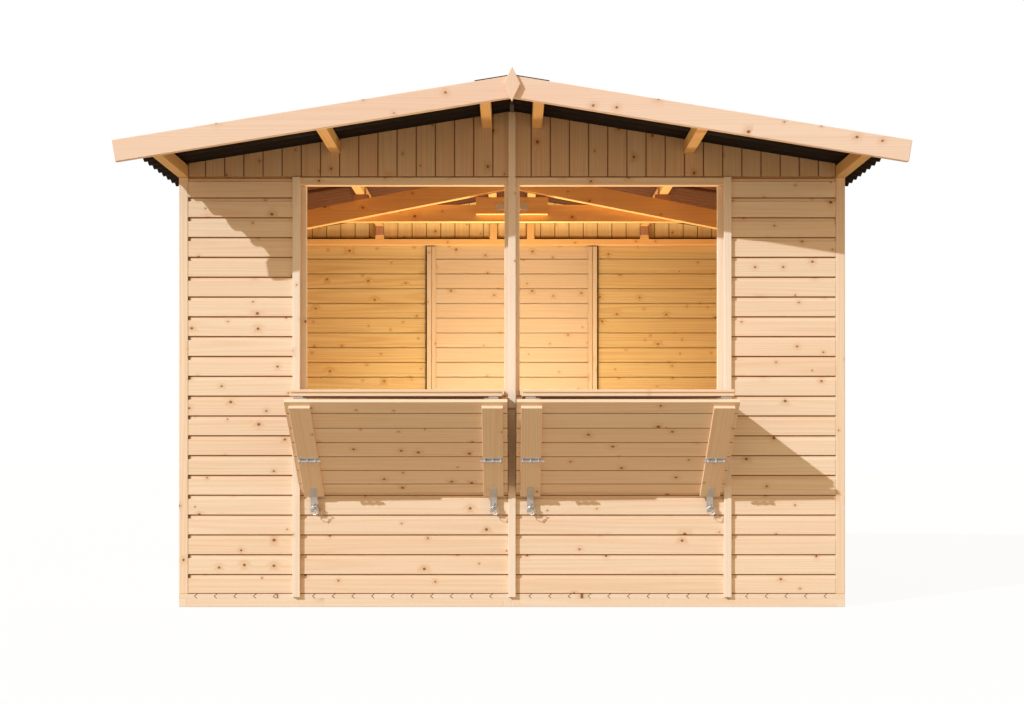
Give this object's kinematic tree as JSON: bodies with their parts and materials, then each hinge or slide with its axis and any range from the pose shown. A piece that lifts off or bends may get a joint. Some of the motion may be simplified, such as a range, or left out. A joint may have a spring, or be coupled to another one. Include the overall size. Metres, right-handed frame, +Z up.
{
  "type": "wooden market stall",
  "caption": "Gabled timber market stall with side-by-side serving hatches, folding counters on sloping braces, corrugated roof and back door.",
  "frame": {"origin": "on the ground at the centre of the floor", "axes": "+X right as seen from the front, +Y from the front into the stall, +Z up"},
  "size_m": [3.266, 2.916, 2.2574],
  "materials": {
    "cladding_wood": "planed softwood, untreated",
    "frame_wood": "planed softwood, untreated",
    "floor_wood": "planed softwood, untreated",
    "bitumen_sheet": "dull corrugated bitumen sheet",
    "zinc_steel": "zinc plated"
  },
  "bodies": {
    "stall": {"back_frames": "frame_wood", "back_wall_left": "cladding_wood", "back_wall_right": "cladding_wood", "barge_board_back_left": "cladding_wood", "barge_board_back_right": "cladding_wood", "barge_board_front_left": "cladding_wood", "barge_board_front_right": "cladding_wood", "bolt_keeper": "zinc_steel", "brace_left": "cladding_wood", "brace_right": "cladding_wood", "corner_posts": "cladding_wood", "counter_left": "cladding_wood", "counter_right": "cladding_wood", "eaves_purlins": "cladding_wood", "finials": "cladding_wood", "floor_boards_left": "floor_wood", "floor_boards_right": "floor_wood", "floor_frame_left": "floor_wood", "floor_frame_right": "floor_wood", "front_apron_left": "cladding_wood", "front_apron_right": "cladding_wood", "front_header": "cladding_wood", "front_panel_left": "cladding_wood", "front_panel_right": "cladding_wood", "front_trims": "cladding_wood", "gable_back_left": "cladding_wood", "gable_back_right": "cladding_wood", "gable_battens": "cladding_wood", "gable_frames": "frame_wood", "gable_front_left": "cladding_wood", "gable_front_right": "cladding_wood", "hinge_pins": "zinc_steel", "mid_purlins": "cladding_wood", "purlin_packers": "frame_wood", "rafter_left": "frame_wood", "rafter_right": "frame_wood", "ridge_cap": "bitumen_sheet", "ridge_purlins": "cladding_wood", "roof_sheet_left": "bitumen_sheet", "roof_sheet_right": "bitumen_sheet", "shutter_bolts": "zinc_steel", "shutter_hinges": "zinc_steel", "shutter_staples": "zinc_steel", "shutter_straps": "zinc_steel", "side_frames": "frame_wood", "side_wall_left": "cladding_wood", "side_wall_right": "cladding_wood", "sill_rails": "cladding_wood", "tie_beam": "frame_wood", "truss_gusset": "frame_wood", "window_posts": "cladding_wood"},
    "door": {"door_bolt": "zinc_steel", "door_leaf": "cladding_wood", "door_ledges": "cladding_wood", "door_straps": "zinc_steel"}
  },
  "joints": [
    {"name": "door_hinge", "type": "hinge", "parent": "stall", "child": "door", "pos_m": [0.51, 0.99, 0.98], "axis": [0, 0, -1], "range_deg": [0, 170]}
  ]
}
